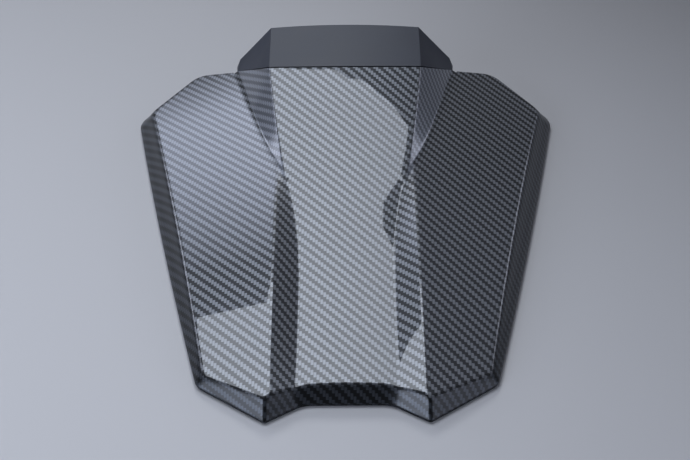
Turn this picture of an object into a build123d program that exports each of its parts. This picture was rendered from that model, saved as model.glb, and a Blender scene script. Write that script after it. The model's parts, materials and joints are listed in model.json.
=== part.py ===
from build123d import *
from math import atan2, cos, degrees, radians, sin, sqrt, tan
import os

# Pillion seat cowl of a motorcycle, lying on its rim as it rests on a table.
# X runs across the cowl, Y forward to the rider, Z up from the plane of the rim.
# Millimetres. Distances called forward are counted from the two rear tips.

# Overall form
LENGTH = 312.0
WALL = 2.5
SKIRT_DRAFT = 34.0
FIT_GAP = 0.6

# Rim outline, right half
TIP_HALF_WIDTH = 45.5
NOTCH_DEPTH = 12.7
NOTCH_FLOOR_HALF = 24.2
REAR_CORNER_HALF = 85.5
REAR_CORNER_FORWARD = 26.5
FRONT_CORNER_HALF = 143.2
FRONT_CORNER_FORWARD = LENGTH - 48.2
NOSE_HALF_WIDTH = 109.4
NOSE_FORWARD = LENGTH - 2.0
SIDE_BOW = 1.5
TIP_RADIUS = 2.5
REAR_CORNER_RADIUS = 7.0
FRONT_CORNER_RADIUS = 14.0
NOTCH_RADIUS = 18.0

# Wings: two roof slopes that fall outwards from a ridge
RIDGE_HALF_WIDTH = 43.0
RIDGE_REAR_HEIGHT = 10.8
RIDGE_REAR_SLOPE = 9.6
RIDGE_RADIUS = -1537.0
WING_FALL = 11.5
SKIRT_HEIGHT = 40.0

# Centre panel: a crowned ramp that starts as a channel and ends as the hump
PANEL_START = 21.0
PANEL_REAR_HEIGHT = 11.5
PANEL_REAR_SLOPE = 4.5
PANEL_RADIUS = 1378.0
CROWN_RADIUS = 420.0
WAIST_HALF_WIDTH = 28.2
WAIST_END = 95.0
FLARE_END = 165.0
FLARE_HALF_WIDTH = 36.5
CHANNEL_STATIONS = (-8.0, 30.0, 70.0, 100.0, 125.0, 150.0, 171.5)
STRIP_OVERRUN = 0.6
RIDGE_LAP = 0.15

# Hump flanks: sides that steepen from the end of the flare to the front face
SEAM_TOP = (50.5, LENGTH - 48.4)
FLANK_FOOT = (74.9, LENGTH - 19.1)
FLANK_BOW = 0.9
FLANK_STEEP_ANGLE = 56.4
FLANK_SHALLOW_ANGLE = 28.0
FLANK_REACH = 45.0
FLANK_OVERRUN = 12.0
FLANK_TUCK = 0.3
FLANK_STATIONS = (150.0, 165.0, 190.0, 225.0, SEAM_TOP[1], LENGTH + 4.0)
HUMP_START = LENGTH - 77.0
HUMP_END = LENGTH - 13.0

# Front panel
FACE_LEAN = 14.5
SHIELD_SHOULDER = (70.9, 34.5)
SHIELD_CHEEK = (76.2, 19.5)
SHIELD_FOOT_HALF = 77.0
SEAM_GAP = 0.9
LIP_REACH = 9.0
LIP_OVERLAP = 4.0
LIP_THICKNESS = 2.0
LIP_ROOM = 2.0
SHIELD_FOOT_HEIGHT = 1.0
SHIELD_BOSS_TOP = 29.0

# Base tray
TRAY_HEIGHT = 4.5
TRAY_THICKNESS = 2.5
RIB_DEPTH = 3.0
RIB_THICKNESS = 2.0
LONG_RIBS = (26.0, 62.0)
CROSS_RIBS = (78.0, 128.0, 178.0, LENGTH - 50.0)
POCKET_HALF_WIDTH = 38.0
POCKET_REAR = 196.0
POCKET_FRONT = 252.0
POCKET_HEIGHT = 28.0
APRON_HALF_WIDTH = 66.0
APRON_FRONT = LENGTH - 5.5
WINDOW_REAR = 30.0
WINDOW_FRONT = 62.0
WINDOW_HALF_WIDTH = 34.0
TONGUE_WIDTH = 22.0
TONGUE_SPACING = 42.0
TONGUE_TIP = 38.0
TONGUE_ROOT = 8.0
TONGUE_THICKNESS = 2.5

# Fasteners between tray, shell and front panel. Places are set in from the side of the rim,
# with the distance forward second.
SCREW_PLACES = ((39.0, 62.0), (24.0, 120.0), (30.0, 200.0), (36.0, LENGTH - 44.0))
PANEL_SCREW_HALF_SPACING = 50.0
PANEL_SCREW_FORWARD = LENGTH - 11.0
SCREW_LENGTH = 9.0
SCREW_RADIUS = 1.9
SCREW_HOLE_RADIUS = 2.2
SCREW_SEAT_RADIUS = 5.0
CORE_RESERVE = 1.0
SCREW_HEAD_RADIUS = 3.6
SCREW_HEAD_HEIGHT = 2.2
DRIVE_LENGTH = 4.2
DRIVE_WIDTH = 1.0
DRIVE_DEPTH = 1.2
BOSS_RADIUS = 4.5
BOSS_TIP_WALL = 1.5

# Latch striker
STRIKER_FORWARD = 224.0
STRIKER_ROD_RADIUS = 4.0
STRIKER_HALF_SPAN = 14.0
STRIKER_BEND = 7.0
STRIKER_FLOOR_GAP = 3.0
PLATE_LENGTH = 66.0
PLATE_WIDTH = 24.0
PLATE_THICKNESS = 3.0
BACKING_THICKNESS = 1.5
BOLT_SPACING = 52.0
BOLT_RADIUS = 3.0
BOLT_HOLE_RADIUS = 3.3
BOLT_HEAD_FLATS = 10.0
BOLT_HEAD_HEIGHT = 4.0
FLANGE_RADIUS = 6.6
FLANGE_THICKNESS = 1.2
NUT_HEIGHT = 5.0
BOLT_STAND_OUT = 0.8

# Rubber buffers
BUFFER_PLACES = {"front": (33.5, LENGTH - 72.0), "rear": (35.5, 92.0)}
BUFFER_RADIUS = 11.0
BUFFER_STEM_RADIUS = 4.0
BUFFER_BULB_RADIUS = 5.6
BUFFER_BULB_HEIGHT = 4.0
BUFFER_EDGE = 1.2

REACH = 2 * LENGTH
SMALL = 0.2


def at(forward):
    """Y coordinate of a distance forward of the rear tips."""
    return forward - LENGTH / 2


def arc_height(forward, start, height, slope, radius, inset=0.0):
    """Height of a circular arc given by its start, slope and signed radius, or of its inner offset."""
    start_forward = start + inset * sin(radians(slope))
    start_height = height - inset * cos(radians(slope))
    lean = sin(radians(slope)) + (forward - start_forward) / (radius + inset)
    return start_height + (radius + inset) * (cos(radians(slope)) - sqrt(1 - lean**2))


def ridge_height(forward, inset=0.0):
    return arc_height(forward, 0, RIDGE_REAR_HEIGHT, RIDGE_REAR_SLOPE, RIDGE_RADIUS, inset)


def panel_height(forward, inset=0.0):
    return arc_height(forward, PANEL_START, PANEL_REAR_HEIGHT, PANEL_REAR_SLOPE, PANEL_RADIUS, inset)


def crown_drop(half_width):
    """Fall of the crowned centre panel at a distance from its centre line."""
    return CROWN_RADIUS - sqrt(CROWN_RADIUS**2 - half_width**2)


def inside_rim(place):
    """Half width and distance forward of a place given by its distance in from the side of the rim."""
    set_in, forward = place
    run = (forward - REAR_CORNER_FORWARD) / (FRONT_CORNER_FORWARD - REAR_CORNER_FORWARD)
    return REAR_CORNER_HALF + (FRONT_CORNER_HALF - REAR_CORNER_HALF) * run - set_in, forward


def on_panel(point):
    half_width, forward = point
    return Vector(half_width, at(forward), panel_height(forward) - crown_drop(half_width))


def on_wing(point):
    half_width, forward = point
    fall = (half_width - RIDGE_HALF_WIDTH) * tan(radians(WING_FALL))
    return Vector(half_width, at(forward), ridge_height(forward) - fall)


def crease_half_width(forward):
    """Half width of the centre panel: a straight waist, a flare, then the bowed edge of the hump."""
    if forward < WAIST_END:
        return WAIST_HALF_WIDTH
    if forward < FLARE_END:
        flare = (forward - WAIST_END) / (FLARE_END - WAIST_END)
        return WAIST_HALF_WIDTH + (FLARE_HALF_WIDTH - WAIST_HALF_WIDTH) * flare**2
    run = (forward - FLARE_END) / (SEAM_TOP[1] - FLARE_END)
    return FLARE_HALF_WIDTH + (SEAM_TOP[0] - FLARE_HALF_WIDTH) * run + 4 * FLANK_BOW * run * (1 - run)


def flank_angle(forward):
    """Fall of the hump flank at a station, in degrees."""
    rest = (LENGTH - forward) / (LENGTH - FLARE_END)
    return FLANK_STEEP_ANGLE - (FLANK_STEEP_ANGLE - FLANK_SHALLOW_ANGLE) * rest**2


def seam_forward(height):
    """Distance forward of the sloping seam plane at a height."""
    top, foot = on_panel(SEAM_TOP), on_wing(FLANK_FOOT)
    return SEAM_TOP[1] + (top.Z - height) * (FLANK_FOOT[1] - SEAM_TOP[1]) / (top.Z - foot.Z)


def face_forward(height, inset=0.0):
    """Distance forward of the leaning front face at a height."""
    return LENGTH - height * tan(radians(FACE_LEAN)) - inset / cos(radians(FACE_LEAN))


def region_below(height_at, first, last, floor, inset=0.0):
    """Side view region between an arc and a floor height."""
    middle = (first + last) / 2
    with BuildSketch() as region:
        with BuildLine():
            ThreePointArc(*[(at(f), height_at(f, inset)) for f in (first, middle, last)])
            Polyline(
                (at(last), height_at(last, inset)),
                (at(last), floor),
                (at(first), floor),
                (at(first), height_at(first, inset)),
            )
        make_face()
    return region.sketch


def rim_sketch(height, inset):
    """Outline of the rim, offset inwards, as a sketch at a height."""
    with BuildSketch(Plane.XY.offset(height)) as rim:
        with BuildLine():
            Polyline(
                (0, at(NOTCH_DEPTH)),
                (NOTCH_FLOOR_HALF, at(NOTCH_DEPTH)),
                (TIP_HALF_WIDTH, at(0)),
                (REAR_CORNER_HALF, at(REAR_CORNER_FORWARD)),
            )
            SagittaArc(
                (REAR_CORNER_HALF, at(REAR_CORNER_FORWARD)),
                (FRONT_CORNER_HALF, at(FRONT_CORNER_FORWARD)),
                -SIDE_BOW,
            )
            Polyline(
                (FRONT_CORNER_HALF, at(FRONT_CORNER_FORWARD)),
                (NOSE_HALF_WIDTH, at(NOSE_FORWARD)),
                (0, at(NOSE_FORWARD)),
                (0, at(NOTCH_DEPTH)),
            )
        make_face()
        mirror(about=Plane.YZ)
        notch_corners = [v for v in rim.vertices() if abs(abs(v.X) - NOTCH_FLOOR_HALF) < SMALL]
        fillet(notch_corners, NOTCH_RADIUS)
        if inset:
            offset(amount=-inset, kind=Kind.INTERSECTION)
    return rim.sketch


def nearest(edges, point):
    """The edge of a list that has an end nearest to a point."""
    return min(edges, key=lambda edge: min((edge @ 0 - point).length, (edge @ 1 - point).length))


def skirt(inset):
    """Drafted block over the rim outline, with its upright corners rounded."""
    footprint = rim_sketch(0, inset / cos(radians(SKIRT_DRAFT)))
    with BuildPart() as block:
        add(footprint)
        extrude(amount=SKIRT_HEIGHT, taper=SKIRT_DRAFT)
        corners = (
            ((TIP_HALF_WIDTH, at(0)), TIP_RADIUS),
            ((REAR_CORNER_HALF, at(REAR_CORNER_FORWARD)), REAR_CORNER_RADIUS),
            ((FRONT_CORNER_HALF, at(FRONT_CORNER_FORWARD)), FRONT_CORNER_RADIUS),
            ((NOSE_HALF_WIDTH, at(NOSE_FORWARD)), FRONT_CORNER_RADIUS),
        )
        for (x, y), radius in corners:
            rising = block.edges().filter_by(lambda edge: edge.bounding_box().size.Z > SKIRT_HEIGHT / 2)
            fillet([nearest(rising, Vector(side * x, y, 0)) for side in (1, -1)], radius)
    return block.part


def panel_block(first, last, inset=0.0):
    """Solid under the crowned centre panel: its side profile turned about a deep axis."""
    axis_height = panel_height(SEAM_TOP[1]) - CROWN_RADIUS
    half_angle = degrees(atan2(NOSE_HALF_WIDTH, CROWN_RADIUS))
    start = Plane(
        origin=(0, 0, axis_height),
        x_dir=(0, 1, 0),
        z_dir=(cos(radians(half_angle)), 0, sin(radians(half_angle))),
    )
    profile = region_below(panel_height, first, last, -CROWN_RADIUS / 2, inset)
    with BuildPart() as block:
        with BuildSketch(start):
            with Locations((0, -axis_height)):
                add(profile)
        revolve(axis=Axis((0, 0, axis_height), (0, 1, 0)), revolution_arc=2 * half_angle)
    return block.part


def wings(inset):
    """Solid under the two wing slopes, with a level middle between the ridges."""
    fall = radians(WING_FALL)
    profile = region_below(ridge_height, -SKIRT_HEIGHT, LENGTH + SKIRT_HEIGHT, -SKIRT_HEIGHT, inset)
    with BuildPart() as roof:
        with BuildSketch(Plane.YZ.offset(RIDGE_HALF_WIDTH)):
            add(profile)
        extrude(amount=FRONT_CORNER_HALF, dir=(cos(fall), 0, -sin(fall)))
        mirror(about=Plane.YZ)
        with BuildSketch(Plane.YZ):
            add(profile)
        extrude(amount=RIDGE_HALF_WIDTH, both=True)
    return roof.part


def channel(inset):
    """Space above the centre panel between the two strips that climb to the ridges."""
    top = 2 * SKIRT_HEIGHT
    panel = panel_block(-SKIRT_HEIGHT, LENGTH, inset)
    with BuildPart() as space:
        for forward in CHANNEL_STATIONS:
            half_width = crease_half_width(forward)
            crease = Vector(half_width, panel_height(forward, inset) - crown_drop(half_width))
            lap_fall = RIDGE_LAP * tan(radians(WING_FALL))
            ridge = Vector(RIDGE_HALF_WIDTH + RIDGE_LAP, ridge_height(forward, inset) - lap_fall)
            rise = (ridge - crease) * STRIP_OVERRUN
            low, high = crease - rise, ridge + rise
            with BuildSketch(Plane.XZ.offset(-at(forward))):
                with BuildLine():
                    Polyline(
                        (-low.X, low.Y),
                        (low.X, low.Y),
                        (high.X, high.Y),
                        (high.X, top),
                        (-high.X, top),
                        (-high.X, high.Y),
                        close=True,
                    )
                make_face()
        loft()
        add(panel, mode=Mode.SUBTRACT)
    return space.part


def side_prism(points):
    """Full-width prism from a side view outline given as forward distances and heights."""
    with BuildPart() as prism:
        with BuildSketch(Plane.YZ):
            with BuildLine():
                Polyline(*[(at(forward), height) for forward, height in points], close=True)
            make_face()
        extrude(amount=LENGTH, both=True)
    return prism.part


def seam_line(shift, foot=-SMALL):
    """Points of the seam in the side view, bottom to top, moved forward by the shift."""
    top = 2 * SKIRT_HEIGHT
    return [
        (FLANK_FOOT[1] + shift, foot),
        (FLANK_FOOT[1] + shift, on_wing(FLANK_FOOT).Z),
        (seam_forward(top) + shift, top),
    ]


def face_line(inset, foot):
    """Points of the front face in the side view, top to bottom."""
    return [(face_forward(height, inset), height) for height in (2 * SKIRT_HEIGHT, foot)]


def cheeks(inset):
    """Upright prism that bounds the sides of the front panel below its shoulders."""
    top = 2 * SKIRT_HEIGHT
    with BuildPart() as prism:
        with BuildSketch(Plane.XZ.offset(-at(LENGTH + SKIRT_HEIGHT))):
            with BuildLine():
                Polyline(
                    (0, -SKIRT_HEIGHT),
                    (SHIELD_FOOT_HALF - inset, -SKIRT_HEIGHT),
                    (SHIELD_FOOT_HALF - inset, 0),
                    (SHIELD_CHEEK[0] - inset, SHIELD_CHEEK[1]),
                    (SHIELD_SHOULDER[0] - inset, SHIELD_SHOULDER[1]),
                    (SHIELD_SHOULDER[0] - inset, top),
                    (0, top),
                    close=True,
                )
            make_face()
            mirror(about=Plane.YZ)
        extrude(amount=LENGTH)
    return prism.part


def flanks(inset):
    """Solid between the two hump flanks, open above the centre panel."""
    top = 2 * SKIRT_HEIGHT
    with BuildPart() as body:
        for forward in FLANK_STATIONS:
            angle = radians(flank_angle(forward))
            tuck = FLANK_TUCK * max(0, FLARE_END - forward)
            half_width = crease_half_width(forward) - tuck
            crease = Vector(half_width, panel_height(forward) - crown_drop(half_width))
            crease -= Vector(sin(angle), cos(angle)) * inset
            fall = Vector(cos(angle), -sin(angle))
            low, high = crease + fall * FLANK_REACH, crease - fall * FLANK_OVERRUN
            with BuildSketch(Plane.XZ.offset(-at(forward))):
                with BuildLine():
                    Polyline(
                        (0, -SKIRT_HEIGHT),
                        (low.X, -SKIRT_HEIGHT),
                        (low.X, low.Y),
                        (high.X, high.Y),
                        (high.X, top),
                        (0, top),
                        close=True,
                    )
                make_face()
                mirror(about=Plane.YZ)
        loft()
    return body.part


def hump(inset, first, last):
    """Solid under the centre panel between the flanks."""
    block, sides = panel_block(first, last, inset), flanks(inset)
    with BuildPart() as body:
        add(block)
        add(sides, mode=Mode.INTERSECT)
        with Locations((0, 0, -REACH / 2)):
            Box(REACH, REACH, REACH, mode=Mode.SUBTRACT)
    return body.part


def form(inset):
    """Solid under the skin of the shell, moved inwards by the inset."""
    footprint, roof, space = skirt(inset), wings(inset), channel(inset)
    raised = hump(inset, FLANK_STATIONS[0], HUMP_END) & cheeks(-SEAM_GAP)
    with BuildPart() as body:
        add(footprint)
        add(roof, mode=Mode.INTERSECT)
        add(space, mode=Mode.SUBTRACT)
        add(raised)
    return body.part


def shield_form(inset, outline):
    """Solid under the skin of the front panel inside a side view outline."""
    skin, sides, slab = hump(inset, HUMP_START, LENGTH), cheeks(inset), side_prism(outline)
    with BuildPart() as body:
        add(skin)
        add(sides, mode=Mode.INTERSECT)
        add(slab, mode=Mode.INTERSECT)
    return body.part


def both_sides(places):
    """Mirror a list of right-hand places to the left."""
    return [(side * x, at(forward)) for x, forward in places for side in (1, -1)]


def column(spots, radius, bottom, top):
    """Upright cylinders at a list of spots, as one helper solid."""
    with BuildPart() as cylinders:
        with Locations(*[(x, y, bottom) for x, y in spots]):
            Cylinder(radius, top - bottom, align=(Align.CENTER, Align.CENTER, Align.MIN))
    return cylinders.part


def block(half_width, rear, front, bottom, top):
    """Box across the centre line given by its limits."""
    with BuildPart() as box:
        with Locations((0, at((rear + front) / 2), bottom)):
            Box(2 * half_width, front - rear, top - bottom, align=(Align.CENTER, Align.CENTER, Align.MIN))
    return box.part


os.makedirs("parts", exist_ok=True)

tray_top = TRAY_HEIGHT + TRAY_THICKNESS
core_top = TRAY_HEIGHT + SCREW_LENGTH + CORE_RESERVE
shell_screws = both_sides([inside_rim(place) for place in SCREW_PLACES])
shield_screws = both_sides([(PANEL_SCREW_HALF_SPACING, PANEL_SCREW_FORWARD)])
outer_form = form(0)
inner_form = form(WALL)
beyond = LENGTH + SKIRT_HEIGHT
opening = cheeks(-SEAM_GAP) & side_prism(seam_line(0) + [(beyond, 2 * SKIRT_HEIGHT), (beyond, -SMALL)])

# Shell: one thin moulding with blind screw bosses under its wings
bosses = column(shell_screws, BOSS_RADIUS, tray_top, SKIRT_HEIGHT) & form(BOSS_TIP_WALL)

with BuildPart() as cowl_shell:
    add(outer_form)
    add(inner_form, mode=Mode.SUBTRACT)
    add(opening, mode=Mode.SUBTRACT)
    add(bosses)
    add(column(shell_screws, SCREW_RADIUS, tray_top - SMALL, core_top), mode=Mode.SUBTRACT)

cowl_shell.part.label = "cowl_shell"
export_step(cowl_shell.part, "parts/cowl_shell.step")

# Front panel: skin, a lip that slides under the edge of the shell, and two screw bosses
lip_depth = WALL + FIT_GAP
lip_floor = lip_depth + LIP_THICKNESS
skin = shield_form(0, seam_line(SEAM_GAP, SHIELD_FOOT_HEIGHT) + face_line(0, SHIELD_FOOT_HEIGHT))
hollow = shield_form(WALL, seam_line(LIP_OVERLAP) + face_line(WALL, -SMALL))
lip = shield_form(lip_depth, seam_line(-LIP_REACH, SHIELD_FOOT_HEIGHT) + seam_line(LIP_OVERLAP, SHIELD_FOOT_HEIGHT)[::-1])
throat = shield_form(lip_floor, seam_line(-LIP_REACH - 1) + seam_line(LIP_OVERLAP + 1)[::-1])
shield_bosses = column(shield_screws, BOSS_RADIUS, tray_top, SHIELD_BOSS_TOP) & shield_form(
    BOSS_TIP_WALL, seam_line(0) + face_line(BOSS_TIP_WALL, -SMALL)
)

with BuildPart() as front_panel:
    add(skin)
    add(hollow, mode=Mode.SUBTRACT)
    add(lip)
    add(throat, mode=Mode.SUBTRACT)
    add(shield_bosses)
    add(column(shield_screws, SCREW_RADIUS, tray_top - SMALL, core_top), mode=Mode.SUBTRACT)

front_panel.part.label = "front_panel"
export_step(front_panel.part, "parts/front_panel.step")

# Base tray: ribbed plate inside the rim, with the latch pocket and two tongues at the rear
tray_inset = WALL + FIT_GAP
rib_bottom = TRAY_HEIGHT - RIB_DEPTH
ceiling = POCKET_HEIGHT - TRAY_THICKNESS
buffer_spots = both_sides([inside_rim(place) for place in BUFFER_PLACES.values()])
rim_block = form(tray_inset)
rim_core = skirt(tray_inset + RIB_THICKNESS)
pocket_hollow = block(
    POCKET_HALF_WIDTH - TRAY_THICKNESS,
    POCKET_REAR + TRAY_THICKNESS,
    POCKET_FRONT - TRAY_THICKNESS,
    -SMALL,
    ceiling,
)
window = block(WINDOW_HALF_WIDTH, WINDOW_REAR, WINDOW_FRONT, -SMALL, tray_top + SMALL)
apron_rear = FLANK_FOOT[1] - LIP_REACH - LIP_ROOM
apron = block(APRON_HALF_WIDTH, apron_rear - LIP_ROOM, APRON_FRONT, TRAY_HEIGHT, tray_top)
notch_cut = block(SHIELD_FOOT_HALF + LIP_ROOM, apron_rear, beyond, -SMALL, tray_top + SMALL)

with BuildPart() as ribs:
    with Locations(*[(side * x, 0, rib_bottom) for x in LONG_RIBS for side in (1, -1)]):
        Box(RIB_THICKNESS, REACH, RIB_DEPTH, align=(Align.CENTER, Align.CENTER, Align.MIN))
    with Locations(*[(0, at(forward), rib_bottom) for forward in CROSS_RIBS]):
        Box(REACH, RIB_THICKNESS, RIB_DEPTH, align=(Align.CENTER, Align.CENTER, Align.MIN))
    add(rim_block, mode=Mode.INTERSECT)

with BuildPart() as rim_rib:
    add(rim_block)
    add(rim_core, mode=Mode.SUBTRACT)
    add(block(REACH, -SKIRT_HEIGHT, beyond, rib_bottom, TRAY_HEIGHT), mode=Mode.INTERSECT)

with BuildPart() as base_tray:
    add(rim_block)
    add(block(REACH, -SKIRT_HEIGHT, beyond, TRAY_HEIGHT, tray_top), mode=Mode.INTERSECT)
    add(ribs.part)
    add(rim_rib.part)
    add(notch_cut, mode=Mode.SUBTRACT)
    add(apron)
    add(block(POCKET_HALF_WIDTH, POCKET_REAR, POCKET_FRONT, TRAY_HEIGHT, POCKET_HEIGHT))
    add(pocket_hollow, mode=Mode.SUBTRACT)
    add(window, mode=Mode.SUBTRACT)
    add(column(shell_screws + shield_screws, SCREW_SEAT_RADIUS, -SMALL, TRAY_HEIGHT), mode=Mode.SUBTRACT)
    add(column(buffer_spots, BUFFER_RADIUS + FIT_GAP, -SMALL, TRAY_HEIGHT), mode=Mode.SUBTRACT)
    for side in (1, -1):
        with Locations((side * TONGUE_SPACING / 2, at(TONGUE_TIP), TRAY_HEIGHT)):
            Box(
                TONGUE_WIDTH,
                WINDOW_FRONT + TONGUE_ROOT - TONGUE_TIP,
                TONGUE_THICKNESS,
                align=(Align.CENTER, Align.MIN, Align.MAX),
            )
    add(column(shell_screws + shield_screws, SCREW_HOLE_RADIUS, -SMALL, tray_top + SMALL), mode=Mode.SUBTRACT)
    add(column(buffer_spots, BUFFER_STEM_RADIUS, -SMALL, tray_top + SMALL), mode=Mode.SUBTRACT)
    bolt_spots = both_sides([(BOLT_SPACING / 2, STRIKER_FORWARD)])
    add(column(bolt_spots, BOLT_HOLE_RADIUS, ceiling - SMALL, POCKET_HEIGHT + SMALL), mode=Mode.SUBTRACT)

base_tray.part.label = "base_tray"
export_step(base_tray.part, "parts/base_tray.step")


def self_tapping_screws(spots):
    """Pan head screws driven up from below the tray, as one group of separate solids."""
    bottom = (Align.CENTER, Align.CENTER, Align.MAX)
    with BuildPart() as screw:
        Cylinder(SCREW_RADIUS, SCREW_LENGTH, align=(Align.CENTER, Align.CENTER, Align.MIN))
        Cylinder(SCREW_HEAD_RADIUS, SCREW_HEAD_HEIGHT, align=bottom)
        rims = screw.edges().filter_by(GeomType.CIRCLE).sort_by(Axis.Z)
        fillet(rims[:1], SCREW_HEAD_HEIGHT / 2)
        chamfer(rims[-1:], SCREW_RADIUS / 2)
        with Locations((0, 0, -SCREW_HEAD_HEIGHT)):
            Box(DRIVE_WIDTH, DRIVE_LENGTH, 2 * DRIVE_DEPTH, mode=Mode.SUBTRACT)
            Box(DRIVE_LENGTH, DRIVE_WIDTH, 2 * DRIVE_DEPTH, mode=Mode.SUBTRACT)
    with BuildPart() as group:
        with Locations(*[(x, y, TRAY_HEIGHT) for x, y in spots]):
            add(screw.part)
    return group.part


with BuildPart() as tray_screws:
    add(self_tapping_screws(shell_screws))

tray_screws.part.label = "tray_screws"
export_step(tray_screws.part, "parts/tray_screws.step")

with BuildPart() as panel_screws:
    add(self_tapping_screws(shield_screws))

panel_screws.part.label = "panel_screws"
export_step(panel_screws.part, "parts/panel_screws.step")

# Latch striker: bent round bar welded to a plate, bolted under the pocket ceiling
plate_bottom = ceiling - PLATE_THICKNESS
bar_height = STRIKER_FLOOR_GAP + STRIKER_ROD_RADIUS
leg = STRIKER_HALF_SPAN

with BuildPart() as latch_striker:
    with BuildLine(Plane.XZ.offset(-at(STRIKER_FORWARD))):
        FilletPolyline(
            (-leg, plate_bottom + SMALL),
            (-leg, bar_height),
            (leg, bar_height),
            (leg, plate_bottom + SMALL),
            radius=STRIKER_BEND,
        )
    with BuildSketch(Plane(origin=(-leg, at(STRIKER_FORWARD), plate_bottom + SMALL), z_dir=(0, 0, -1))):
        Circle(STRIKER_ROD_RADIUS)
    sweep()
    with Locations((0, at(STRIKER_FORWARD), plate_bottom)):
        Box(PLATE_LENGTH, PLATE_WIDTH, PLATE_THICKNESS, align=(Align.CENTER, Align.CENTER, Align.MIN))
    add(column(bolt_spots, BOLT_HOLE_RADIUS, plate_bottom - SMALL, ceiling + SMALL), mode=Mode.SUBTRACT)

latch_striker.part.label = "latch_striker"
export_step(latch_striker.part, "parts/latch_striker.step")

with BuildPart() as backing_plate:
    with Locations((0, at(STRIKER_FORWARD), POCKET_HEIGHT)):
        Box(PLATE_LENGTH, PLATE_WIDTH, BACKING_THICKNESS, align=(Align.CENTER, Align.CENTER, Align.MIN))
    add(column(bolt_spots, BOLT_HOLE_RADIUS, POCKET_HEIGHT - SMALL, 2 * POCKET_HEIGHT), mode=Mode.SUBTRACT)

backing_plate.part.label = "backing_plate"
export_step(backing_plate.part, "parts/backing_plate.step")

nut_bottom = POCKET_HEIGHT + BACKING_THICKNESS
bolt_top = nut_bottom + NUT_HEIGHT + BOLT_STAND_OUT

with BuildPart() as striker_bolts:
    add(column(bolt_spots, BOLT_RADIUS, plate_bottom, bolt_top))
    add(column(bolt_spots, FLANGE_RADIUS, plate_bottom - FLANGE_THICKNESS, plate_bottom))
    for x, y in bolt_spots:
        with BuildSketch(Plane.XY.offset(plate_bottom - FLANGE_THICKNESS - BOLT_HEAD_HEIGHT)):
            with Locations((x, y)):
                RegularPolygon(BOLT_HEAD_FLATS / 2, 6, major_radius=False)
        extrude(amount=BOLT_HEAD_HEIGHT)

striker_bolts.part.label = "striker_bolts"
export_step(striker_bolts.part, "parts/striker_bolts.step")

with BuildPart() as striker_nuts:
    with BuildSketch(Plane.XY.offset(nut_bottom)):
        with Locations(*bolt_spots):
            RegularPolygon(BOLT_HEAD_FLATS / 2, 6, major_radius=False)
            Circle(BOLT_RADIUS, mode=Mode.SUBTRACT)
    extrude(amount=NUT_HEIGHT)

striker_nuts.part.label = "striker_nuts"
export_step(striker_nuts.part, "parts/striker_nuts.step")

# Rubber buffers: pads under the tray, held by a bulb pushed through a hole
for end, place in BUFFER_PLACES.items():
    half_width, forward = inside_rim(place)
    for hand, side in (("right", 1), ("left", -1)):
        with BuildPart() as rubber_buffer:
            with BuildSketch(Plane.XZ):
                Polygon(
                    (0, 0),
                    (BUFFER_RADIUS - BUFFER_EDGE, 0),
                    (BUFFER_RADIUS, BUFFER_EDGE),
                    (BUFFER_RADIUS, TRAY_HEIGHT),
                    (BUFFER_STEM_RADIUS, TRAY_HEIGHT),
                    (BUFFER_STEM_RADIUS, tray_top),
                    (BUFFER_BULB_RADIUS, tray_top),
                    (BUFFER_STEM_RADIUS / 2, tray_top + BUFFER_BULB_HEIGHT),
                    (0, tray_top + BUFFER_BULB_HEIGHT),
                    align=None,
                )
            revolve(axis=Axis.Z)
        placed = rubber_buffer.part.moved(Location((side * half_width, at(forward), 0)))
        placed.label = f"buffer_{end}_{hand}"
        export_step(placed, f"parts/buffer_{end}_{hand}.step")
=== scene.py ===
import json
import math
import bmesh
import bpy
import numpy as np
from mathutils import Matrix, Vector


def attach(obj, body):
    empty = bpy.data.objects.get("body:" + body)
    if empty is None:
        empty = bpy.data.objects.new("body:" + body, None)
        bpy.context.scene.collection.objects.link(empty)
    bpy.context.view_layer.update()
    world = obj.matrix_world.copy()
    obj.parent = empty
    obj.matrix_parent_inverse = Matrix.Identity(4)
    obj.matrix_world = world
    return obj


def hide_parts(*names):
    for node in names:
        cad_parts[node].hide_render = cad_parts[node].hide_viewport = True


# Pillion seat cowl of a motorcycle on a pale table: a glossy faceted shell with a woven carbon print,
# a satin black front panel and a moulded tray below. Metres, +X right, +Y forward to the rider, +Z up.

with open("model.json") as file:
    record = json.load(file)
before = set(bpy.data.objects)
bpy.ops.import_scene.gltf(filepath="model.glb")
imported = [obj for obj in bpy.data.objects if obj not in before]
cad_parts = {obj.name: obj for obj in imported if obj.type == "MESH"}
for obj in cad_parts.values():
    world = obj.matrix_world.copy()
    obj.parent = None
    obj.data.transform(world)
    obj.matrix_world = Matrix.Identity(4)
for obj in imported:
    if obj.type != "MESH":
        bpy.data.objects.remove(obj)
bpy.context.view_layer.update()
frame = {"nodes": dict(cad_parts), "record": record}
MM = 0.001


def place_camera():
    """Looks forward and down over the rear of the cowl, as the photograph does."""
    focal_pixels, picture_pixels, sensor = 1300.0, 690.0, 36.0
    tilt_from_level, roll = 42.8, -0.35
    data = bpy.data.cameras.new("camera")
    data.sensor_width = sensor
    data.lens = focal_pixels / picture_pixels * sensor
    data.clip_start = 0.01
    data.clip_end = 100.0
    camera = bpy.data.objects.new("camera", data)
    bpy.context.scene.collection.objects.link(camera)
    tilt = Matrix.Rotation(math.radians(90.0 - tilt_from_level), 4, "X")
    turn = tilt @ Matrix.Rotation(math.radians(roll), 4, "Z")
    camera.matrix_world = Matrix.Translation(Vector((-0.0007, -0.6032, 0.5597))) @ turn
    bpy.context.scene.camera = camera


place_camera()


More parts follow.
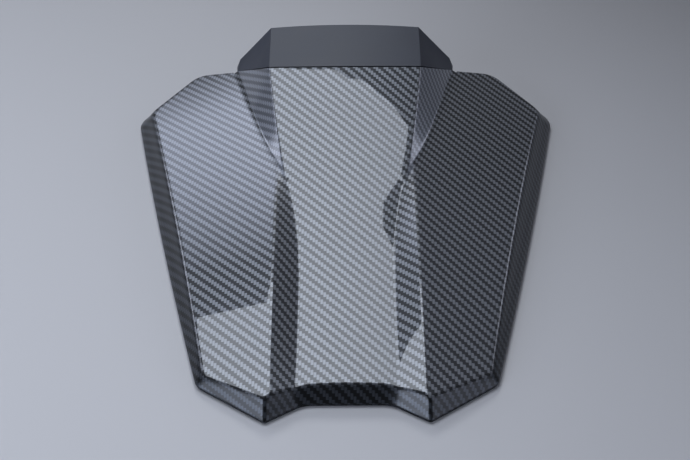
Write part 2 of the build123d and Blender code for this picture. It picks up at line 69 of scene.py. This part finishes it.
class Nodes:
    """Short way to write a node tree. An input is given by its name or by its number on the node."""

    def __init__(self, tree):
        self.tree = tree

    def add(self, kind, **settings):
        node = self.tree.nodes.new(kind)
        inputs = settings.pop("inputs", {})
        for key, value in settings.items():
            setattr(node, key, value)
        for key, value in inputs.items():
            self.set(node, key, value)
        return node

    def set(self, node, key, value):
        """Links a socket to an input, or types a value into it."""
        socket = node.inputs[key]
        if isinstance(value, bpy.types.NodeSocket):
            self.tree.links.new(value, socket)
        else:
            socket.default_value = value

    def math(self, operation, *values):
        node = self.add("ShaderNodeMath", operation=operation)
        for index, value in enumerate(values):
            self.set(node, index, value)
        return node.outputs[0]

    def mix(self, factor, first, second, blend="MIX"):
        """Mixes two colours: inputs 0, 6 and 7 of the node are the factor and the colours."""
        node = self.add("ShaderNodeMix", data_type="RGBA", blend_type=blend)
        for key, value in ((0, factor), (6, first), (7, second)):
            self.set(node, key, value)
        return node.outputs[2]

    def mix_number(self, factor, first, second):
        """Mixes two numbers: inputs 0, 2 and 3 of the node are the factor and the numbers."""
        node = self.add("ShaderNodeMix", data_type="FLOAT")
        for key, value in ((0, factor), (2, first), (3, second)):
            self.set(node, key, value)
        return node.outputs[0]

    def span(self, value, low, high, out_low, out_high, shape="SMOOTHSTEP"):
        """Maps one range of values onto another, and holds the end values outside it."""
        node = self.add("ShaderNodeMapRange", interpolation_type=shape)
        for key, number in enumerate((value, low, high, out_low, out_high)):
            self.set(node, key, number)
        return node.outputs[0]

    def noise(self, place, scale, detail):
        inputs = {0: place, "Scale": scale, "Detail": detail}
        return self.add("ShaderNodeTexNoise", inputs=inputs).outputs[0]

    def stretch(self, place, scale):
        """Place scaled by its own amount along each axis: input 3 of the node is the scale."""
        return self.add("ShaderNodeMapping", inputs={0: place, 3: scale}).outputs[0]

    def bump(self, height, strength):
        """Fine relief, at most 0.2 mm high."""
        inputs = {"Strength": strength, "Distance": 0.2 * MM, "Height": height}
        return self.add("ShaderNodeBump", inputs=inputs).outputs[0]


def new_material(name):
    material = bpy.data.materials.new(name)
    material.use_nodes = True
    material.node_tree.nodes.clear()
    nodes = Nodes(material.node_tree)
    output = nodes.add("ShaderNodeOutputMaterial")
    shader = nodes.add("ShaderNodeBsdfPrincipled")
    nodes.set(output, "Surface", shader.outputs[0])
    return material, nodes, shader


def rgb(*values):
    """Colour as read on a screen, 0 to 255, turned to linear light."""
    linear = [(v / 255) / 12.92 if v <= 10 else ((v / 255 + 0.055) / 1.055) ** 2.4 for v in values]
    return (*linear, 1.0)


TOW = 1.7 * MM


def tow_light(nodes, place, position, fibre_scale):
    """Light on the tows that lie side by side along one axis: each is rounded, light in its middle and
    dark at its sides, with fine fibres along it."""
    from_middle = nodes.math("ABSOLUTE", nodes.math("SUBTRACT", nodes.math("FRACT", position), 0.5))
    fibres = nodes.noise(nodes.stretch(place, fibre_scale), 1.0, 2.0)
    roundness = nodes.span(from_middle, 0.22, 0.5, 1.0, 0.55)
    return nodes.math("MULTIPLY", roundness, nodes.span(fibres, 0.3, 0.7, 0.75, 1.2))


def woven_print():
    """Two by two twill printed under clear lacquer: bands of light and dark tows that step diagonally.

    The shell's mesh says where the print lies. Its wall attribute darkens the print on the drafted side walls as
    painted shade and thins the lacquer there, and its stretched attribute pales the print on the flanks of the hump."""
    weft_share = 0.09
    material, nodes, shader = new_material("woven_print")
    place = nodes.add("ShaderNodeAttribute", attribute_name="print").outputs["Vector"]
    wall = nodes.add("ShaderNodeAttribute", attribute_name="wall").outputs["Fac"]
    stretched = nodes.add("ShaderNodeAttribute", attribute_name="stretched").outputs["Fac"]
    axes = nodes.add("ShaderNodeSeparateXYZ", inputs={0: place})
    across = nodes.math("DIVIDE", axes.outputs[0], TOW)
    along = nodes.math("DIVIDE", axes.outputs[1], TOW)
    steps = nodes.math("ADD", nodes.math("FLOOR", across), nodes.math("FLOOR", along))
    warp_on_top = nodes.math("LESS_THAN", nodes.math("FLOORED_MODULO", steps, 4.0), 1.5)
    warp = tow_light(nodes, place, across, (9000.0, 500.0, 500.0))
    weft = nodes.math("MULTIPLY", tow_light(nodes, place, along, (500.0, 9000.0, 500.0)), weft_share)
    light = nodes.mix_number(warp_on_top, weft, warp)
    dark = nodes.mix(stretched, rgb(10, 11, 14), rgb(78, 81, 88))
    pale = nodes.mix(stretched, rgb(118, 121, 127), rgb(136, 140, 149))
    # Painted shade: the drafted side walls get a darker copy of the print, standing in for how dark they fall in the
    # light.
    painted_shade_wall_print = nodes.mix(light, rgb(6, 7, 9), rgb(62, 66, 73))
    nodes.set(shader, "Base Color", nodes.mix(wall, nodes.mix(light, dark, pale), painted_shade_wall_print))
    nodes.set(shader, "Coat Weight", nodes.span(wall, 0.0, 1.0, 1.0, 0.3))
    shader.inputs["Metallic"].default_value = 0.55
    shader.inputs["Roughness"].default_value = 0.38
    shader.inputs["Coat Roughness"].default_value = 0.0
    shader.inputs["Coat IOR"].default_value = 1.55
    return material


def satin_black():
    """Satin black paint with a faint cool sheen and very fine orange peel."""
    material, nodes, shader = new_material("satin_black")
    place = nodes.add("ShaderNodeTexCoord").outputs["Object"]
    cloud = nodes.noise(place, 45.0, 4.0)
    nodes.set(shader, "Base Color", nodes.mix(cloud, rgb(34, 37, 46), rgb(44, 48, 59)))
    nodes.set(shader, "Roughness", nodes.span(cloud, 0.3, 0.7, 0.42, 0.5))
    nodes.set(shader, "Normal", nodes.bump(nodes.noise(place, 900.0, 3.0), 0.06))
    return material


def grained_moulding():
    """Black moulded plastic with a fine spark-eroded grain."""
    material, nodes, shader = new_material("grained_moulding")
    place = nodes.add("ShaderNodeTexCoord").outputs["Object"]
    grain = nodes.noise(place, 1800.0, 3.0)
    nodes.set(shader, "Base Color", nodes.mix(nodes.noise(place, 18.0, 3.0), rgb(26, 26, 28), rgb(36, 36, 38)))
    nodes.set(shader, "Roughness", nodes.span(grain, 0.3, 0.7, 0.5, 0.68))
    nodes.set(shader, "Normal", nodes.bump(grain, 0.25))
    return material


def zinc_plate():
    """Zinc plated steel: bright grey with cloudy passivation and fine scratches."""
    material, nodes, shader = new_material("zinc_plate")
    place = nodes.add("ShaderNodeTexCoord").outputs["Object"]
    scratch = nodes.noise(nodes.stretch(place, (300.0, 6000.0, 3000.0)), 1.0, 2.0)
    nodes.set(shader, "Base Color", nodes.mix(nodes.noise(place, 60.0, 5.0), rgb(168, 168, 160), rgb(205, 205, 200)))
    nodes.set(shader, "Roughness", nodes.span(scratch, 0.3, 0.7, 0.28, 0.45))
    shader.inputs["Metallic"].default_value = 1.0
    return material


def blackened_steel():
    """Black oxide on steel, worn lighter in specks."""
    material, nodes, shader = new_material("blackened_steel")
    place = nodes.add("ShaderNodeTexCoord").outputs["Object"]
    speck = nodes.noise(place, 700.0, 4.0)
    worn = nodes.span(speck, 0.55, 0.75, 0.0, 1.0)
    nodes.set(shader, "Base Color", nodes.mix(worn, rgb(40, 40, 42), rgb(95, 95, 98)))
    nodes.set(shader, "Roughness", nodes.span(speck, 0.3, 0.7, 0.35, 0.5))
    shader.inputs["Metallic"].default_value = 0.8
    return material


def buffer_rubber():
    """Matt black rubber with a dusty bloom."""
    material, nodes, shader = new_material("buffer_rubber")
    place = nodes.add("ShaderNodeTexCoord").outputs["Object"]
    bloom = nodes.noise(place, 120.0, 5.0)
    nodes.set(shader, "Base Color", nodes.mix(bloom, rgb(20, 20, 20), rgb(40, 40, 40)))
    nodes.set(shader, "Roughness", nodes.span(bloom, 0.3, 0.7, 0.75, 0.9))
    return material


finishes = {
    "carbon_gloss": woven_print(),
    "black_satin": satin_black(),
    "black_moulding": grained_moulding(),
    "zinc_steel": zinc_plate(),
    "black_steel": blackened_steel(),
    "rubber": buffer_rubber(),
}

for part in frame["record"]["subparts"]:
    node = frame["nodes"][part["node"]]
    node.data.materials.clear()
    node.data.materials.append(finishes[part["material_slot"]])


# Form of the shell. It follows the CAD solid, with rounded edges, a raised lower rim and a set-back edge at
# the seam. Lengths are millimetres, half widths count from the middle and forward from the two rear tips.
LENGTH = 312.0
WALL = 2.5
SKIRT_DRAFT = math.radians(34.0)
DRAFT = math.tan(SKIRT_DRAFT)
RIDGE_HALF_WIDTH = 43.0
WING_FALL = math.tan(math.radians(11.5))
CROWN_RADIUS = 420.0
WAIST_HALF_WIDTH = 28.2
WAIST_END = 95.0
FLARE = 8.3
FLARE_LENGTH = 70.0
HUMP_SPREAD = 14.0
HUMP_BOW = 3.6
HUMP_LENGTH = 98.6
STRIP_END = 171.5
FLANK_START = 180.0
FLANK_LENGTH = 147.0
FLANK_STEEP_ANGLE = 56.4
FLANK_EASING = 28.4
SEAM_HALF_WIDTH = 50.5
SEAM_FORWARD = 263.6
SEAM_RUN = 30.0
REAR_CORNER = (85.5, 26.5)
FRONT_CORNER = (143.2, 263.8)
SIDE_BOW = 1.5

# What the drawn skin adds: how far its rim stands off the table, is tucked in under the wall, and lets the
# wall near it stand out; the widths over which corners are rounded; and how far the front edge is set back.
RIM_GAP = 1.5
RIM_TUCK = 2.4
RIM_SPREAD = 1.2
RIM_SPREAD_REACH = 5.0
TOP_EDGE_ROUNDING = 2.2
RIDGE_ROUNDING = 0.35
CREASE_ROUNDING = 0.6
SEAM_SETBACK = 0.5

# Inward distances from the rim of the rings that go round the rolled rim, and from the top edge of those
# that go over it.
RIM_RINGS = (0.0, 0.15, 0.4, 0.8, 1.3, 1.8)
TOP_RINGS = (-2.0, -1.4, -0.9, -0.5, -0.2, 0.1, 0.4, 0.8, 1.3, 2.0, 3.0)


def arc_rise(forward, start, height, slope, radius):
    """Side profile: a circular arc from a start point, height and slope, with a signed radius."""
    slope = math.radians(slope)
    lean = math.sin(slope) + (forward - start) / radius
    return height + radius * (math.cos(slope) - np.sqrt(1 - lean**2))


def ridge_rise(forward):
    return arc_rise(forward, start=0.0, height=10.8, slope=9.6, radius=-1537.0)


def panel_rise(forward, half):
    """Centre panel: side profile less the drop of its crown."""
    drop = CROWN_RADIUS - np.sqrt(CROWN_RADIUS**2 - half**2)
    return arc_rise(forward, start=21.0, height=11.5, slope=4.5, radius=1378.0) - drop


def crease_half(forward):
    """Half width of the centre panel: straight waist, square-law flare, then a shallow bow along the hump."""
    flare = FLARE * (np.clip(forward - WAIST_END, 0.0, FLARE_LENGTH) / FLARE_LENGTH) ** 2
    run = np.clip(forward - WAIST_END - FLARE_LENGTH, 0.0, None) / HUMP_LENGTH
    return WAIST_HALF_WIDTH + flare + HUMP_SPREAD * run + HUMP_BOW * run * (1 - run)


def flank_slope(forward):
    """Fall of the hump's flank for each millimetre outwards: shallow at its start and steep at the front."""
    rest = np.clip(LENGTH - forward, 0.0, 160.0) / FLANK_LENGTH
    return np.tan(np.radians(FLANK_STEEP_ANGLE - FLANK_EASING * rest**2))


def foot_half(forward):
    """Half width at which the hump flank meets the wing, and the ridge where there is no flank."""
    crease = crease_half(forward)
    top = panel_rise(forward, crease) + crease * flank_slope(forward)
    foot = (top - ridge_rise(forward) - RIDGE_HALF_WIDTH * WING_FALL) / (flank_slope(forward) - WING_FALL)
    return np.where(forward > FLANK_START, np.maximum(RIDGE_HALF_WIDTH, foot), RIDGE_HALF_WIDTH)


def round_min(first, second, width):
    """Lower of two heights, with the corner rounded where they differ by less than the width."""
    near = np.clip(width - np.abs(first - second), 0.0, None)
    return np.minimum(first, second) - near**2 / (4 * width)


def round_max(first, second, width):
    return -round_min(-first, -second, width)


def top_rise(half, forward):
    """Height of the top: wings and strips joined at the ridge, with the centre panel and its flanks above.

    Rear of the strips' front end the flank is lifted clear. The hollow where panel and flanks meet wings and
    strips is rounded more from there on."""
    crease, ridge = crease_half(forward), ridge_rise(forward)
    crease_rise = panel_rise(forward, crease)
    low = np.minimum(crease_rise, ridge)
    wing = ridge - (half - RIDGE_HALF_WIDTH) * WING_FALL
    strip = low + (half - crease) * (ridge - low) / np.maximum(RIDGE_HALF_WIDTH - crease, 1.0)
    strip = np.where(forward > STRIP_END, ridge, strip)
    lift = 0.35 * np.clip(STRIP_END - forward, 0.0, None)
    flank = crease_rise + lift - (half - crease) * flank_slope(forward)
    hollow = RIDGE_ROUNDING + 0.5 * np.clip((forward - 168.0) / 18.0, 0.0, 1.0)
    sides = round_min(wing, strip, RIDGE_ROUNDING)
    centre = round_min(panel_rise(forward, half), flank, CREASE_ROUNDING)
    return round_max(sides, centre, hollow)


def print_place(half, forward):
    """Where the print lies: on strips and flanks it is unfolded about the ridge or foot, as a film would be."""
    crease, foot = crease_half(forward), foot_half(forward)
    turn = np.arctan((foot_half(forward + 1.0) - foot_half(forward - 1.0)) / 2)
    climb = np.abs(top_rise(crease, forward) - top_rise(foot, forward)) / ((foot - crease) * np.cos(turn))
    run = np.clip(foot - half, 0.0, foot - crease) * np.cos(turn) * (half > crease - 0.01)
    extra = run * (np.sqrt(1.0 + climb**2) - 1.0)
    return half - np.cos(turn) * extra, forward + np.sin(turn) * extra


def read_off(line, at):
    """Points of a line at places counted along it in points, fractions included."""
    order = np.arange(len(line), dtype=float)
    return np.stack([np.interp(at, order, line[:, axis]) for axis in (0, 1)], axis=-1)


def rim_path(count):
    """Right half of the rim from the middle of the notch to the front opening.

    A corner is given by its half width, its forward place and its radius, negative where it is hollow. Its
    arc turns the inward normal from one straight edge to the next; the straights between are filled evenly.
    Returns the points and the way each one moves for every millimetre of inward offset."""
    corners = [(0.0, 12.7, 0.0), (24.2, 12.7, -18.0), (45.5, 0.0, 2.5), (*REAR_CORNER, 7.0),
               (*FRONT_CORNER, 14.0), (109.4, 310.0, 14.0), (77.9, 310.0, 0.0)]
    places = np.array([corner[:2] for corner in corners])
    ways = np.diff(places, axis=0)
    ways /= np.linalg.norm(ways, axis=1)[:, None]
    normals = np.stack([-ways[:, 1], ways[:, 0]], axis=1)
    spots, shifts = [places[:1]], [normals[:1]]
    for index, (x, y, radius) in enumerate(corners[1:-1], start=1):
        before, after = normals[index - 1], normals[index]
        bisector = (before + after) / (1 + before @ after)
        fan = np.linspace(0.0, 1.0, 24)[:, None] * (after - before) + before
        fan /= np.linalg.norm(fan, axis=1)[:, None]
        spots.append(places[index] + radius * bisector - radius * fan)
        shifts.append(fan if radius < 0 else np.repeat(bisector[None], len(fan), axis=0))
    spots.append(places[-1:])
    shifts.append(normals[-1:])
    spots, shifts = np.concatenate(spots), np.concatenate(shifts)
    travel = np.concatenate([[0.0], np.cumsum(np.linalg.norm(np.diff(spots, axis=0), axis=1) + 1e-6)])
    even = np.union1d(np.linspace(0.0, travel[-1], count), travel)
    spots = np.stack([np.interp(even, travel, spots[:, axis]) for axis in (0, 1)], axis=1)
    shifts = np.stack([np.interp(even, travel, shifts[:, axis]) for axis in (0, 1)], axis=1)
    on_side = (spots[:, 0] > 80.0) * (spots[:, 1] < 262.0)
    along = np.clip((spots[:, 1] - 30.0) / 225.0, 0.0, 1.0) * on_side
    outward = np.array([0.97, -0.24])
    spots += 4 * SIDE_BOW * (along * (1 - along))[:, None] * outward
    return spots, shifts


def edge_distance(spots, shifts):
    """Inward distance at which the drafted wall reaches the top, by repeated substitution."""
    distance = np.full(len(spots), 8.0)
    for _ in range(60):
        reach = spots + distance[:, None] * shifts
        distance = DRAFT * top_rise(np.abs(reach[:, 0]), reach[:, 1])
    return distance


def seam_forward(column_half, guess):
    """Where a column meets the sloping seam plane, by repeated substitution.

    The plane falls from just above the hump at the seam to just above the wing, 30 mm further forward."""
    top = top_rise(SEAM_HALF_WIDTH, SEAM_FORWARD) + 0.3
    foot = top_rise(80.0, SEAM_FORWARD + SEAM_RUN) + 1.0
    forward = guess
    for _ in range(60):
        drop = top - top_rise(column_half(forward), forward)
        forward = SEAM_FORWARD - SEAM_SETBACK + drop * SEAM_RUN / (top - foot)
        forward = np.clip(forward, 240.0, 293.4)
    return forward


def fractions(*stretches):
    """Joins evenly divided stretches, each given as start, end and steps, into one rising list from 0 to 1."""
    return np.unique(np.concatenate([np.linspace(start, end, steps + 1) for start, end, steps in stretches]))


def middle_columns(across, rows, rear_inner):
    """Columns inside the ridge or foot: across from 0 to 1 is the centre panel, and from 1 to 2 the strip and
    flank. They run from the band of wall at the rear to the seam."""
    def half(forward):
        crease, foot = crease_half(forward), foot_half(forward)
        return np.minimum(across, 1.0) * crease + np.clip(across - 1.0, 0.0, 1.0) * (foot - crease)
    rear = np.interp(half(np.full(across.shape, 20.0)), rear_inner[:, 0], rear_inner[:, 1])
    front = seam_forward(half, np.full(across.shape, 262.0) + 26.0 * np.clip(across - 1.0, 0.0, 1.0))
    forward = rear + rows * (front - rear)
    return half(forward), forward


def coons_patch(inner, outer, rear, front, q, v):
    """Surface between four lines: q runs from the inner line to the outer one, v from the rear to the front."""
    return ((1 - q) * inner[:, None] + q * outer[:, None]
            + (1 - v) * rear[None] + v * front[None]
            - (1 - q) * (1 - v) * rear[0] - q * (1 - v) * rear[-1]
            - (1 - q) * v * front[0] - q * v * front[-1])


def wall_band(spots, shifts, edge, stops):
    """Rings of drafted wall at the given stops along the rim, rolled under at the rim.

    A ring lies at an inward distance from the rim. Its height is the lower of the wall, which stands the
    rim gap off the table, and the top, with a rounded corner. The rings lower than twice the gap are tucked
    in, and those near the rim are spread out. Returns the seven layers that shell_skin names."""
    at_rim, way = read_off(spots, stops), read_off(shifts, stops)
    top_edge = np.interp(stops, np.arange(len(edge), dtype=float), edge)[:, None]
    taken = RIM_RINGS[-1] - TOP_RINGS[0]
    roll = np.array(RIM_RINGS)[None, :] * np.ones_like(top_edge)
    up = RIM_RINGS[-1] + np.array([0.3, 0.6, 0.85])[None, :] * (top_edge - taken)
    over = top_edge + np.array(TOP_RINGS)[None, :]
    distance = np.concatenate([roll, up, over], axis=1)
    wall_rise = np.sqrt(RIM_GAP**2 + (distance / DRAFT) ** 2)
    tuck = RIM_TUCK * np.clip(2.0 - wall_rise / RIM_GAP, 0.0, 1.0) ** 2
    spread = RIM_SPREAD * np.clip(1.0 - distance / RIM_SPREAD_REACH, 0.0, 1.0)
    band = at_rim[:, None] + (distance + (tuck - spread))[:, :, None] * way[:, None]
    half, forward = band[:, :, 0], band[:, :, 1]
    rise = round_min(wall_rise, top_rise(half, forward), TOP_EDGE_ROUNDING)
    wall = np.clip((top_edge + 0.8 - distance) / 1.6, 0.0, 1.0)
    held = at_rim[:, None] + np.maximum(distance, top_edge)[:, :, None] * way[:, None]
    down = np.clip(top_edge - distance, 0.0, None)[:, :, None] / math.sin(SKIRT_DRAFT)
    film = np.stack(print_place(held[:, :, 0], held[:, :, 1]), axis=-1) - down * way[:, None]
    return half, forward, rise, wall, film[:, :, 0], film[:, :, 1], np.zeros_like(rise)


def mirrored(layers, axis):
    """Adds the left half in front of the right one along an axis, sharing the middle line."""
    keep = (slice(None), slice(None, 0, -1)) if axis else (slice(None, 0, -1), slice(None))
    signs = (-1, 1, 1, 1, -1, 1, 1)
    return [np.concatenate([sign * layer[keep], layer], axis=axis) for layer, sign in zip(layers, signs)]


def shell_skin():
    """Outer skin of the shell: an inner patch whose lines run along the creases, and a band of drafted wall.

    The patch is a grid, across and rear to front. Its lines follow the crease and the ridge or foot at
    their own forward distance, and the wing outside them is a Coons patch between the ridge or foot and the
    band. The band goes round the rim in rings. Both grids have seven layers: half width, forward place and
    height, the share of wall, the place of the print across and along, and the share of flank."""
    spots, shifts = rim_path(1500)
    edge = edge_distance(spots, shifts)
    inner = spots + (edge + TOP_RINGS[-1])[:, None] * shifts
    rear_corner, front_corner = (np.argmin(np.abs(spots[:, 0] - corner[0]) + np.abs(spots[:, 1] - corner[1]))
                                 for corner in (REAR_CORNER, FRONT_CORNER))
    order = np.arange(len(spots), dtype=float)
    last = len(spots) - 1

    rows = np.linspace(0.0, 1.0, 151)[:, None]
    centre_q = fractions((0.0, 0.9, 18), (0.9, 0.97, 3), (0.97, 1.0, 3))
    strip_q = fractions((0.0, 0.09, 3), (0.09, 0.2, 2), (0.2, 0.75, 6), (0.75, 0.9, 3), (0.9, 1.0, 4))
    wing_q = fractions((0.0, 0.02, 3), (0.02, 0.08, 3), (0.08, 1.0, 26))

    across = np.concatenate([centre_q, 1.0 + strip_q[1:]])
    middle_half, middle_forward = middle_columns(across[None, :], rows, inner[:rear_corner])

    ridge_start = np.interp(RIDGE_HALF_WIDTH, inner[:rear_corner, 0], order[:rear_corner])
    rear_at = ridge_start + wing_q * (rear_corner - ridge_start)
    side_at = np.interp(inner[rear_corner, 1] + rows[:, 0] * (inner[front_corner, 1] - inner[rear_corner, 1]),
                        inner[rear_corner:front_corner + 1, 1], order[rear_corner:front_corner + 1])
    front_at = last + wing_q * (front_corner - last)
    rear_line, side_line, front_line = (read_off(inner, at) for at in (rear_at, side_at, front_at))
    ridge_line = np.stack([middle_half[:, -1], middle_forward[:, -1]], axis=-1)
    rear_line[0], front_line[0] = ridge_line[0], ridge_line[-1]
    wing = coons_patch(ridge_line, side_line, rear_line, front_line, wing_q[None, :, None], rows[:, :, None])
    half = np.concatenate([middle_half, wing[:, 1:, 0]], axis=1)
    forward = np.concatenate([middle_forward, wing[:, 1:, 1]], axis=1)
    rise = top_rise(half, forward)
    on_flank = (half > crease_half(forward) + 0.1) * (half < foot_half(forward) - 0.1)
    flank = np.clip((forward - 172.0) / 8.0, 0.0, 1.0) * on_flank
    top_layers = (half, forward, rise, np.zeros_like(rise), *print_place(half, forward), flank)

    rear_half = half[0][half[0] <= RIDGE_HALF_WIDTH + 1e-6]
    rear_stops = np.interp(rear_half, inner[:rear_corner, 0], order[:rear_corner])
    stops = np.concatenate([rear_stops, rear_at[1:], side_at[1:], front_at[-2::-1]])
    band_layers = wall_band(spots, shifts, edge, stops)

    middle = LENGTH / 2
    points, quads, walls, prints, flanks, count = [], [], [], [], [], 0
    grids = [mirrored(top_layers, 1), mirrored(band_layers, 0)]
    for index, (x, y, z, wall, print_x, print_y, pale) in enumerate(grids):
        numbers = count + np.arange(x.size).reshape(x.shape)
        corner, right, up_right, above = numbers[:-1, :-1], numbers[:-1, 1:], numbers[1:, 1:], numbers[1:, :-1]
        loop = (corner, right, up_right, above) if index == 0 else (corner, above, up_right, right)
        quads.append(np.stack(loop, axis=-1).reshape(-1, 4))
        points.append(np.stack([x, y - middle, z], axis=-1).reshape(-1, 3) * MM)
        prints.append(np.stack([print_x, print_y - middle, z], axis=-1).reshape(-1, 3) * MM)
        walls.append(wall.ravel())
        flanks.append(pale.ravel())
        count += x.size
    return [np.concatenate(group) for group in (points, quads, walls, prints, flanks)]


def moulded_shell():
    """Welds the skin, gives it its wall with Solidify, and keeps the inner edge above the table.

    The blind screw bosses inside, which nothing shows, are left to the solid that it replaces."""
    points, quads, walls, prints, flanks = shell_skin()
    skin = bpy.data.meshes.new("shell_skin")
    skin.from_pydata(points, [], quads)
    for name, kind, field, values in (("wall", "FLOAT", "value", walls), ("stretched", "FLOAT", "value", flanks),
                                      ("print", "FLOAT_VECTOR", "vector", prints)):
        attribute = skin.attributes.new(name, kind, "POINT")
        attribute.data.foreach_set(field, values.astype(np.float32).ravel())
    weld = bmesh.new()
    weld.from_mesh(skin)
    bmesh.ops.remove_doubles(weld, verts=weld.verts, dist=2e-5)
    weld.to_mesh(skin)
    weld.free()
    draft = bpy.data.objects.new("shell_skin", skin)
    bpy.context.scene.collection.objects.link(draft)
    wall = draft.modifiers.new("wall", "SOLIDIFY")
    wall.thickness, wall.offset, wall.use_even_offset, wall.use_rim = WALL * MM, -1.0, True, True
    wall.thickness_clamp = 0.0
    graph = bpy.context.evaluated_depsgraph_get()
    mesh = bpy.data.meshes.new_from_object(draft.evaluated_get(graph))
    mesh.name = "moulded_shell"
    places = np.empty(3 * len(mesh.vertices), dtype=np.float32)
    mesh.vertices.foreach_get("co", places)
    places[2::3] = np.maximum(places[2::3], 0.0)
    mesh.vertices.foreach_set("co", places)
    mesh.polygons.foreach_set("use_smooth", np.ones(len(mesh.polygons), dtype=bool))
    mesh.set_sharp_from_angle(angle=math.radians(38.0))
    mesh.materials.append(finishes["carbon_gloss"])
    mesh.update()
    bpy.data.objects.remove(draft)
    shell = bpy.data.objects.new("moulded_shell", mesh)
    bpy.context.scene.collection.objects.link(shell)
    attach(shell, "root")
    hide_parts("cowl_shell")


moulded_shell()


# Table and light
def table_cover():
    """Pale grey table, a little lighter towards the lower left: painted light, with the colour fading darker towards
    the upper right as the lamp's light falls off.
    """
    material, nodes, shader = new_material("table_cover")
    place = nodes.add("ShaderNodeTexCoord").outputs["Object"]
    axes = nodes.add("ShaderNodeSeparateXYZ", inputs={0: place})
    slope = nodes.math("ADD", nodes.math("MULTIPLY", axes.outputs[0], 0.6), axes.outputs[1])
    # Painted light: the table's colour fades from light at the lower left to painted shade at the upper right.
    painted_light_falloff = nodes.span(slope, -0.55, 0.62, 0.0, 1.0, shape="LINEAR")
    nodes.set(shader, "Base Color", nodes.mix(painted_light_falloff, rgb(222, 221, 223), rgb(70, 69, 71)))
    shader.inputs["Roughness"].default_value = 0.6
    return material


def floor_sheet():
    """Flat square at the height of the rim."""
    half = 4.0
    corners = [(-half, -half, 0.0), (half, -half, 0.0), (half, half, 0.0), (-half, half, 0.0)]
    mesh = bpy.data.meshes.new("table")
    mesh.from_pydata(corners, [], [(0, 1, 2, 3)])
    sheet = bpy.data.objects.new("table", mesh)
    bpy.context.scene.collection.objects.link(sheet)
    mesh.materials.append(table_cover())


floor_sheet()

LAMP_HEIGHT = 1.0


def softbox(name, corner, side, rise, colour, power):
    """Rectangular lamp given by a corner and its two edges; it shines away from edge cross edge."""
    corner, side, rise = Vector(corner), Vector(side), Vector(rise)
    lamp = bpy.data.lights.new(name, "AREA")
    lamp.shape = "RECTANGLE"
    lamp.size, lamp.size_y = side.length, rise.length
    lamp.color, lamp.energy = colour, power
    back = side.cross(rise).normalized()
    turn = Matrix((side.normalized(), rise.normalized(), back)).transposed().to_4x4()
    holder = bpy.data.objects.new(name, lamp)
    holder.matrix_world = Matrix.Translation(corner + (side + rise) / 2) @ turn
    bpy.context.scene.collection.objects.link(holder)


softbox("overhead_lamp", corner=(-0.95, -0.045, LAMP_HEIGHT), side=(1.206, 0.0, 0.0), rise=(0.0, 0.70, 0.0),
        colour=(0.85, 0.92, 1.03), power=8.5)
softbox("front_lamp", corner=(-0.26, 1.25, 1.10), side=(0.30, 0.0, 0.0), rise=(0.0, 0.19, -0.24),
        colour=(0.95, 0.97, 1.0), power=6.5)


def lamp_flag():
    """Dark sheet 2 mm below the front edge of the overhead lamp, with the uneven outline of its frame."""
    height = LAMP_HEIGHT - 2 * MM
    edge = [(-0.96, 0.563), (-0.505, 0.567), (-0.50, 0.64), (-0.31, 0.64), (-0.30, 0.573), (-0.186, 0.557),
            (-0.106, 0.5505), (0.012, 0.546), (0.131, 0.548), (0.212, 0.552), (0.253, 0.554), (0.244, 0.549),
            (0.218, 0.539), (0.150, 0.527), (0.148, 0.521), (0.207, 0.518), (0.29, 0.508), (0.29, 0.68),
            (-0.96, 0.68)]
    mesh = bpy.data.meshes.new("lamp_flag")
    mesh.from_pydata([(x, y, height) for x, y in edge], [], [tuple(range(len(edge)))])
    mesh.materials.append(finishes["rubber"])
    flag = bpy.data.objects.new("lamp_flag", mesh)
    bpy.context.scene.collection.objects.link(flag)


lamp_flag()


def room_light():
    """Dim grey room with seven soft glows.

    A glow has the direction of its middle, how near to that it starts, as a cosine, its light, and the
    heights between which it comes up. In order: one high at the left front, two at the left rear, one at the
    right rear, one low at each front side, and a faint one high at the right front."""
    glows = (((-0.345, 0.745, 0.571), 0.972, (2.4, 2.65, 3.3), (0.43, 0.54)),
             ((-0.72, -0.59, 0.36), 0.95, (4.6, 5.1, 6.2), (0.0, 0.1)),
             ((-0.88, -0.41, 0.24), 0.9, (0.8, 0.9, 1.1), (0.0, 0.1)),
             ((0.88, -0.41, 0.24), 0.9, (1.3, 1.4, 1.7), (0.0, 0.1)),
             ((-0.79, 0.53, 0.31), 0.975, (3.0, 3.2, 3.8), (0.18, 0.3)),
             ((0.79, 0.53, 0.31), 0.975, (1.9, 2.0, 2.4), (0.18, 0.3)),
             ((0.41, 0.48, 0.775), 0.93, (0.12, 0.13, 0.17), (0.5, 0.7)))
    world = bpy.data.worlds.new("room")
    bpy.context.scene.world = world
    world.use_nodes = True
    world.node_tree.nodes.clear()
    nodes = Nodes(world.node_tree)
    output = nodes.add("ShaderNodeOutputWorld")
    background = nodes.add("ShaderNodeBackground")
    heading = nodes.add("ShaderNodeTexCoord").outputs["Generated"]
    height = nodes.add("ShaderNodeSeparateXYZ", inputs={0: heading}).outputs[2]
    light = (0.075, 0.077, 0.085, 1.0)
    for middle, start, colour, (low, high) in glows:
        product = nodes.add("ShaderNodeVectorMath", operation="DOT_PRODUCT", inputs={0: heading, 1: middle})
        nearness = nodes.span(product.outputs["Value"], start, 1.0, 0.0, 1.0, shape="LINEAR")
        share = nodes.math("MULTIPLY", nearness, nodes.span(height, low, high, 0.0, 1.0))
        light = nodes.mix(share, light, (*colour, 1.0), blend="ADD")
    nodes.set(background, "Color", light)
    nodes.set(output, "Surface", background.outputs[0])


room_light()

bpy.context.scene.view_settings.view_transform = "Standard"
